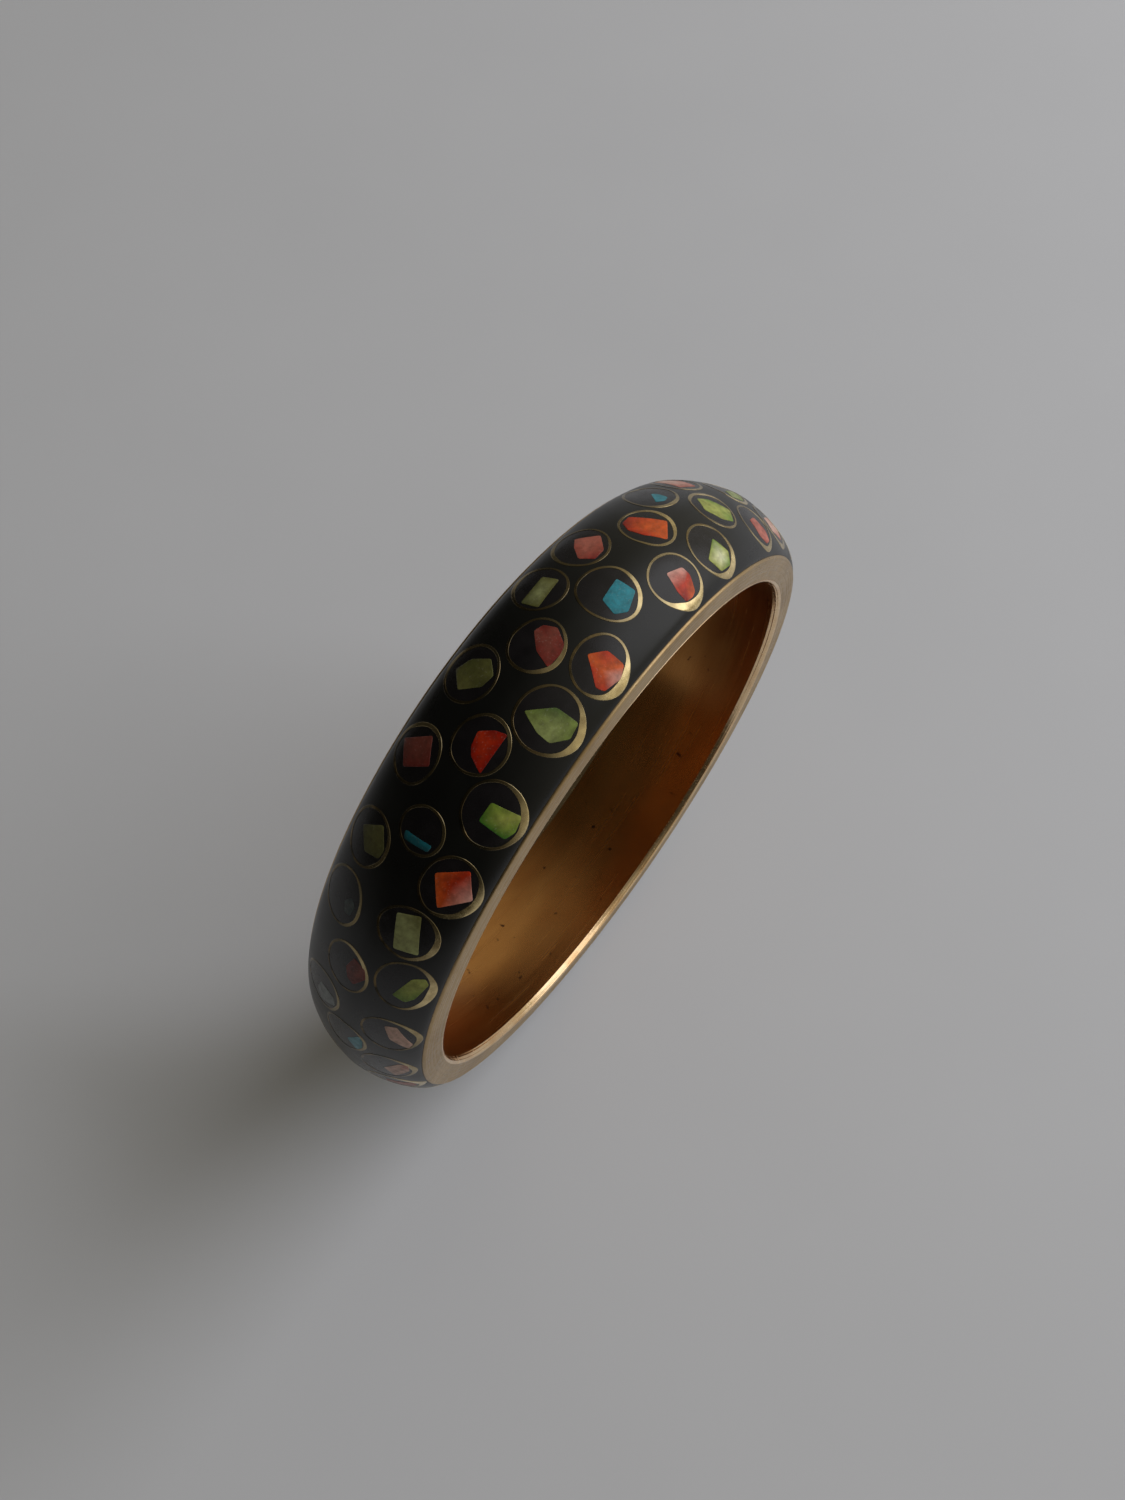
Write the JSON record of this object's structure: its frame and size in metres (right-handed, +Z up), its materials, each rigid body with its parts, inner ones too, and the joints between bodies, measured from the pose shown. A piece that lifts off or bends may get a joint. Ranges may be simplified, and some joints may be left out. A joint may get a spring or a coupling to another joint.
{
  "type": "bangle bracelet",
  "caption": "Rigid closed brass bangle with a domed black resin band, inlaid with brass oval cells that each hold a coloured stone chip.",
  "frame": {"origin": "the point on the floor under the bangle as it stands on its edge, under its middle", "axes": "+Z up, the bangle's own axis along Y, -Y towards the front rim, +X to the right of someone who looks at the front rim"},
  "size_m": [0.0766, 0.0154, 0.0768],
  "materials": {
    "polished_brass": "polished inside face, a little worn",
    "turned_brass": "satin, fine turned lines",
    "cell_brass": "polished flush, satin",
    "black_resin": "high gloss, polished",
    "coral": "polished flush",
    "rose": "polished flush",
    "garnet": "polished flush",
    "lime": "polished flush",
    "jade": "polished flush",
    "olive": "polished flush",
    "turquoise": "polished flush",
    "slate": "polished flush"
  },
  "bodies": {
    "root": {"inner_liner": "polished_brass", "front_rim": "turned_brass", "back_rim": "turned_brass", "resin_band": "black_resin", "cell_ring_01": "cell_brass", "stone_chip_01": "rose", "cell_ring_02": "cell_brass", "stone_chip_02": "turquoise", "cell_ring_03": "cell_brass", "stone_chip_03": "rose", "cell_ring_04": "cell_brass", "stone_chip_04": "slate", "cell_ring_05": "cell_brass", "stone_chip_05": "garnet", "cell_ring_06": "cell_brass", "stone_chip_06": "lime", "cell_ring_07": "cell_brass", "stone_chip_07": "slate", "cell_ring_08": "cell_brass", "stone_chip_08": "olive", "cell_ring_09": "cell_brass", "stone_chip_09": "olive", "cell_ring_10": "cell_brass", "stone_chip_10": "coral", "cell_ring_11": "cell_brass", "stone_chip_11": "turquoise", "cell_ring_12": "cell_brass", "stone_chip_12": "lime", "cell_ring_13": "cell_brass", "stone_chip_13": "garnet", "cell_ring_14": "cell_brass", "stone_chip_14": "coral", "cell_ring_15": "cell_brass", "stone_chip_15": "olive", "cell_ring_16": "cell_brass", "stone_chip_16": "jade", "cell_ring_17": "cell_brass", "stone_chip_17": "garnet", "cell_ring_18": "cell_brass", "stone_chip_18": "coral", "cell_ring_19": "cell_brass", "stone_chip_19": "olive", "cell_ring_20": "cell_brass", "stone_chip_20": "turquoise", "cell_ring_21": "cell_brass", "stone_chip_21": "rose", "cell_ring_22": "cell_brass", "stone_chip_22": "coral", "cell_ring_23": "cell_brass", "stone_chip_23": "coral", "cell_ring_24": "cell_brass", "stone_chip_24": "jade", "cell_ring_25": "cell_brass", "stone_chip_25": "turquoise", "cell_ring_26": "cell_brass", "stone_chip_26": "lime", "cell_ring_27": "cell_brass", "stone_chip_27": "rose", "cell_ring_28": "cell_brass", "stone_chip_28": "rose"}
  },
  "joints": []
}
